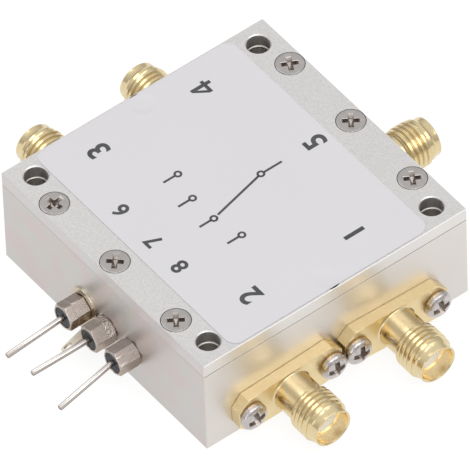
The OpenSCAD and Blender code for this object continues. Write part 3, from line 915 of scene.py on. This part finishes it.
def lid_screw_template():
    head_r, edge_r = LID_SCREW["head_r"], LID_SCREW["edge_r"]
    profile = shank_profile(LID_SCREW, -LID_SCREW["head_h"]) + [(head_r, -LID_SCREW["rim"])]
    profile += arc((head_r - edge_r, -edge_r), edge_r, 0, 90, 5) + [(0, 0)]
    return screw_template(profile, 0, LID_RECESS)


def pan_screw_template():
    head_r, head_h, crown_steps = PAN_SCREW["head_r"], PAN_SCREW["head_h"], PAN_SCREW["crown_steps"]
    foot_x, foot_z = PAN_SCREW["foot"]
    side = PAN_SCREW["side_share"] * head_h
    crown = head_h - side
    profile = shank_profile(PAN_SCREW, 0) + [(head_r - foot_x, 0), (head_r, foot_z)]
    for k in range(crown_steps):
        a = math.radians(90 * k / crown_steps)
        profile.append((head_r * math.cos(a), side + crown * math.sin(a)))
    profile.append((0, head_h))
    return screw_template(profile, head_h, PAN_RECESS)


def dress_lid_screws():
    """Six screws with open heads, and two covered ones that sit deeper, as low as the solids go."""
    low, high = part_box("lid_screws")
    reach_x = (high.x - low.x) / 2 - LID_SCREW["head_r"] * MM
    reach_y = (high.y - low.y) / 2 - LID_SCREW["head_r"] * MM
    covered_z = low.z + LID_SCREW["len"] * MM
    places = []
    for (side, step), turn in LID_SCREW_TURNS.items():
        covered = side == 0
        y = step * (reach_y if covered else LID_SCREW_PITCH * MM)
        place = (side * reach_x, y, covered_z if covered else high.z)
        places.append(Matrix.Translation(place) @ turned(turn))
    mesh = repeated(lid_screw_template(), places, "lid_screws", sharp=30)
    piece("lid_screws_with_recess", mesh, ("lid_screws", "recess"), ["lid_screws"])


def dress_flange_screws():
    hole_x = FLANGE[0] / 2 - FLANGE_HOLE_EDGE
    places = []
    for (jack, side), turn in FLANGE_SCREW_TURNS.items():
        seat = Matrix.Translation(metres(side * hole_x, 0, FLANGE[2]))
        places.append(jack_frame(jack) @ turned(FLANGE_TURNS[jack] / 2) @ seat @ turned(turn))
    mesh = repeated(pan_screw_template(), places, "flange_screws", sharp=30)
    piece("flange_screws_with_recess", mesh, ("flange_screws", "recess"),
          ["flange_screws"])


# First feedthrough and its nut, whose facing ends aren't turned round

def hexagon_ring(bm, z, turn, limit=math.inf):
    """A ring of points round a hexagon, no further out than the limit."""
    verts = []
    for k in range(HEX_STEPS):
        angle = 2 * math.pi * k / HEX_STEPS
        to_flat = angle % (math.pi / 3) - math.pi / 6
        r = min(HEX_ACROSS / 2 / math.cos(to_flat), limit)
        way = angle + math.radians(turn)
        verts.append(bm.verts.new(metres(r * math.cos(way), r * math.sin(way), z)))
    return verts


def round_ring(bm, z, turn, radius):
    """A round ring whose points lie at the same angles as the hexagon's."""
    way = Matrix.Rotation(math.radians(turn), 3, "Z")
    return [bm.verts.new(way @ metres(x, y, z)) for x, y in circle_points(radius, HEX_STEPS)]


def head_mesh():
    """The short head with its cup, on the shank that runs through the wall."""
    back = HEAD_FACE - HEAD_T
    cup_floor = HEAD_FACE - CUP_DEPTH
    edge_r = HEX_ACROSS / 2 - HEX_TURN_IN
    slope = math.tan(math.radians(HEX_TURN_ANGLE))
    inner = [(CAPACITOR_R, SHANK_BACK), (CAPACITOR_R, cup_floor), (CUP_R, cup_floor), (CUP_R, HEAD_FACE)]
    bm = bmesh.new()
    rings = [round_ring(bm, z, HEAD_TURN, r) for r, z in inner]
    for away in HEX_TURN_LEVELS:
        rings.append(hexagon_ring(bm, HEAD_FACE - away, HEAD_TURN, edge_r + away / slope))
    rings.append(hexagon_ring(bm, back, HEAD_TURN))
    rings += [round_ring(bm, z, HEAD_TURN, SHANK_R) for z in (back, SHANK_BACK)]
    skin(bm, rings, closed=True)
    return to_mesh(bm, "feedthrough_head", sharp=25)


def nut_mesh():
    back, face = LUG_T, HEAD_FACE - HEAD_T
    bm = bmesh.new()
    rings = [hexagon_ring(bm, z, NUT_TURN) for z in (back, face)]
    rings += [round_ring(bm, z, NUT_TURN, SHANK_R) for z in (face, back)]
    skin(bm, rings, closed=True)
    return to_mesh(bm, "lug_nut", sharp=25)


def dress_first_feedthrough():
    low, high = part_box("feedthrough_1_body")
    middle = (low + high) / 2
    place = axis_frame((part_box("housing")[0].x, middle.y, middle.z), (-1, 0, 0))
    for name, mesh, replaced in (("feedthrough_1_head", head_mesh(), "feedthrough_1_body"),
                                 ("lug_clamp_nut", nut_mesh(), "lug_nut")):
        obj = piece(name, mesh, ["feedthrough"], [replaced], place)
        soften(obj, HEX_EDGE_BREAK)


# Leads

def sweep(bm, path, radii, steps):
    """A round bar along a path of points, closed at both ends."""
    side = None
    rings = []
    for k, point in enumerate(path):
        along = (path[min(k + 1, len(path) - 1)] - path[max(k - 1, 0)]).normalized()
        side = (along.orthogonal() if side is None else side - along * side.dot(along)).normalized()
        other = along.cross(side)
        rings.append([bm.verts.new((point + (side * x + other * y)) * MM)
                      for x, y in circle_points(radii[k], steps)])
    skin(bm, rings)
    bm.faces.new(rings[0])
    bm.faces.new(rings[-1])


def dress_leads():
    """Each lead from its foot on the board, round its knee, through the feedthrough and out."""
    leg_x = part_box("housing")[0].x / MM + LEAD_LEG_IN
    foot_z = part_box("circuit_board")[1].z / MM
    straight_until, leaning_from = LEAD_LEAN
    for i in FEEDS:
        mount = mounts[f"lead_{i}"]
        axis = Vector(mount["axis"])
        half = mount["dims"]["length_mm"] / 2
        middle = Vector(mount["pos_m"]) / MM
        bend = middle - axis * (half + LEAD_START)
        tip = middle + axis * half + Vector((0, 0, LEAD_LIFTS[i]))
        axis = (tip - bend).normalized()
        knee = arc((leg_x - LEAD_KNEE_R, bend.z - LEAD_KNEE_R), LEAD_KNEE_R, 0, 90, 8)
        path = [Vector((x, bend.y, z)) for x, z in [(leg_x, foot_z)] + knee]
        path += [bend + Vector((away, 0, 0))
                 for away in (RESIN_FACE, RESIN_FACE - LEAD_GROWTH, straight_until)]
        path += [bend + axis * leaning_from, tip - axis * (LEAD_SOFT_END + LEAD_SHORT),
                 tip - axis * LEAD_SHORT]
        outer = [LEAD_OUTER_R] * 4 + [LEAD_OUTER_R - LEAD_SOFT_END]
        radii = [LEAD_R] * (len(path) - len(outer)) + outer
        bm = bmesh.new()
        sweep(bm, path, radii, LEAD_STEPS)
        piece(f"feedthrough_{i}_tinned_lead", to_mesh(bm, "tinned_lead", sharp=50), ["lead"],
              [f"feedthrough_{i}_lead"])


# Label

def label_outline(low, high):
    left, right = low.x + LABEL_CORNER, high.x - LABEL_CORNER
    front, back = low.y + LABEL_CORNER, high.y - LABEL_CORNER
    points = []
    for centre, start in (((right, back), 0), ((left, back), 90), ((left, front), 180),
                          ((right, front), 270)):
        points += arc(centre, LABEL_CORNER, start, start + 90, LABEL_CORNER_STEPS)
    return points


def dip(x, y, centres):
    """How far the label has sunk at a point, where it bridges the covered screw heads."""
    depth = 0
    for cx, cy in centres:
        share = (math.hypot(x - cx, y - cy) - DIP_INNER) / (DIP_OUTER - DIP_INNER)
        share = min(1, max(0, share))
        depth = max(depth, DIP_DEPTH * (0.5 + 0.5 * math.cos(math.pi * share)))
    return depth


def dress_label():
    low, high = [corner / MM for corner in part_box("label")]
    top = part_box("lid")[1].z / MM + LABEL_T
    screws_low, screws_high = [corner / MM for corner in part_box("lid_screws")]
    centre_y = (screws_high.y - screws_low.y) / 2 - LID_SCREW["head_r"]
    centres = [(0, -centre_y), (0, centre_y)]
    outline = label_outline(low, high)
    points = list(outline)
    for cx, cy in centres:
        points.append((cx, cy))
        for k in range(1, DIP_RINGS + 1):
            for x, y in circle_points(DIP_RING_GAP * k, DIP_RING_POINTS, (cx, cy)):
                if low.y + LABEL_MARGIN < y < high.y - LABEL_MARGIN:
                    points.append((x, y))
        edge_y = low.y if cy < 0 else high.y
        for k in range(-DIP_EDGE_REACH, DIP_EDGE_REACH + 1):
            points.append((cx + DIP_EDGE_GAP * k, edge_y))
    found, faces = triangles(points, loop_edges(len(outline)))
    bm = bmesh.new()
    verts = [bm.verts.new(metres(p[0], p[1], top - dip(p[0], p[1], centres))) for p in found]
    for corners in faces:
        bm.faces.new([verts[c] for c in corners])
    thicken(bm, LABEL_T)
    piece("label_film", to_mesh(bm, "label_film", sharp=40), ["label"], ["label"])


# Print on the label: plain numbers beside the ports and pins, and a plain switch diagram

def print_numeral(bm, text, x, y, height):
    """A numeral whose foot looks to +X and which reads along +Y."""
    curve = bpy.data.curves.new("numeral", "FONT")
    curve.body = text
    curve.size = height * MM * FONT_SIZE_PER_HEIGHT
    curve.align_x = "CENTER"
    curve.align_y = "CENTER"
    curve.offset = height * MM * FONT_BOLDNESS
    curve.resolution_u = 8
    writer = bpy.data.objects.new("numeral", curve)
    bpy.context.scene.collection.objects.link(writer)
    bpy.context.view_layer.update()
    depsgraph = bpy.context.evaluated_depsgraph_get()
    mesh = bpy.data.meshes.new_from_object(writer.evaluated_get(depsgraph))
    bpy.data.objects.remove(writer)
    bpy.data.curves.remove(curve)
    mesh.transform(Matrix.Translation(metres(x, y, 0)) @ turned(90))
    bm.from_mesh(mesh)
    bpy.data.meshes.remove(mesh)


def print_four(bm):
    """The numeral 4, placed as the others are."""
    x, y, height = FOUR
    middle_u, middle_v = FOUR_MIDDLE
    verts = [bm.verts.new(metres(x - (v - middle_v) * height, y + (u - middle_u) * height, 0))
             for u, v in FOUR_POINTS]
    for corners in FOUR_FACES:
        bm.faces.new([verts[c] for c in corners])


def stroke(bm, start, end):
    start, end = Vector(start), Vector(end)
    along = (end - start).normalized()
    across = Vector((-along.y, along.x)) * LINE_WIDTH / 2
    corners = [start - across, end - across, end + across, start + across]
    bm.faces.new([bm.verts.new(metres(c.x, c.y, 0)) for c in corners])


def print_circle(bm, centre):
    inner, outer = [ring(bm, r, 0, CIRCLE_STEPS, centre) for r in (CIRCLE_R - CIRCLE_WIDTH, CIRCLE_R)]
    bridge(bm, inner, outer)


def print_diagram(bm):
    for centre in [POLE] + THROWS:
        print_circle(bm, centre)
    stroke(bm, (POLE[0] + LINE_START, 0), (POLE[0] + POLE_STUB_END, 0))
    for x, y in THROWS:
        stroke(bm, (x - LINE_START, y), (x - THROW_STUB_END, y))
    target = Vector(THROWS[ARM_THROW])
    way = (target - Vector(POLE)).normalized()
    stroke(bm, Vector(POLE) + way * LINE_START, target - way * ARM_SHORT)


def dress_print():
    bm = bmesh.new()
    for numeral in NUMERALS:
        print_numeral(bm, *numeral)
    print_four(bm)
    print_diagram(bm)
    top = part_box("label")[1].z
    for vert in bm.verts:
        vert.co.z = top - PRINT_DROP * MM
    bmesh.ops.triangulate(bm, faces=bm.faces)
    thicken(bm, PRINT_T)
    piece("label_print", to_mesh(bm, "label_print", sharp=30), ["print"])


# Surroundings

def white_floor():
    bm = bmesh.new()
    size = FLOOR_HALF_M
    corners = [(-size, -size), (size, -size), (size, size), (-size, size)]
    bm.faces.new([bm.verts.new((x, y, FLOOR_Z_M)) for x, y in corners])
    mesh = bpy.data.meshes.new("floor")
    bm.to_mesh(mesh)
    bm.free()
    floor = bpy.data.objects.new("floor", mesh)
    bpy.context.scene.collection.objects.link(floor)
    finish = Finish("white_floor")
    finish.set(Base_Color=(FLOOR_GREY, FLOOR_GREY, FLOOR_GREY, 1), Roughness=0.9, Specular_IOR_Level=0,
               Emission_Color=(1, 1, 1, 1), Emission_Strength=FLOOR_LIGHT)
    mesh.materials.append(finish.material)


def studio_light():
    """White walls and ceiling, a little darker low down, with soft boxes above."""
    world = bpy.data.worlds.new("studio")
    world.use_nodes = True
    bpy.context.scene.world = world
    tree = world.node_tree
    background = tree.nodes["Background"]
    direction = tree.nodes.new("ShaderNodeTexCoord")
    parts = tree.nodes.new("ShaderNodeSeparateXYZ")
    tree.links.new(direction.outputs["Generated"], parts.inputs["Vector"])
    ramp = tree.nodes.new("ShaderNodeValToRGB")
    tree.links.new(parts.outputs["Z"], ramp.inputs["Fac"])
    # A new ramp has two stops
    for _ in range(len(WORLD_STOPS) - 2):
        ramp.color_ramp.elements.new(0.5)
    for element, (place, level) in zip(ramp.color_ramp.elements, WORLD_STOPS):
        element.position = place
        element.color = (level, level, level, 1)
    tree.links.new(ramp.outputs["Color"], background.inputs["Color"])
    background.inputs["Strength"].default_value = 1.0
    for place, size, power in SOFT_BOXES:
        data = bpy.data.lights.new("softbox", "AREA")
        data.shape = "SQUARE"
        data.size = size
        data.energy = power
        lamp = bpy.data.objects.new("softbox", data)
        lamp.location = place
        lamp.rotation_euler = Vector(place).to_track_quat("Z", "Y").to_euler()
        bpy.context.scene.collection.objects.link(lamp)


def photo_camera():
    azimuth, elevation, roll = (math.radians(v) for v in (VIEW_AZIMUTH, VIEW_ELEVATION, VIEW_ROLL))
    back = Vector((math.sin(azimuth) * math.cos(elevation),
                   -math.cos(azimuth) * math.cos(elevation), math.sin(elevation)))
    level = Vector((math.cos(azimuth), math.sin(azimuth), 0))
    upright = back.cross(level)
    right = math.cos(roll) * level + math.sin(roll) * upright
    up = math.cos(roll) * upright - math.sin(roll) * level
    data = bpy.data.cameras.new("camera")
    data.sensor_width = SENSOR_MM
    data.lens = FOCAL_PIXELS / PHOTO_PIXELS * SENSOR_MM
    data.clip_start = 0.01
    camera = bpy.data.objects.new("camera", data)
    place = back * VIEW_DISTANCE - right * VIEW_CENTRE[0] - up * VIEW_CENTRE[1]
    turn = Matrix((right, up, back)).transposed().to_4x4()
    camera.matrix_world = Matrix.Translation(place * MM) @ turn
    bpy.context.scene.collection.objects.link(camera)
    bpy.context.scene.camera = camera


bpy.context.scene.view_settings.view_transform = "Standard"
photo_camera()
studio_light()
white_floor()
dress_solids()
dress_jacks()
dress_lid_screws()
dress_flange_screws()
dress_first_feedthrough()
dress_leads()
dress_label()
dress_print()
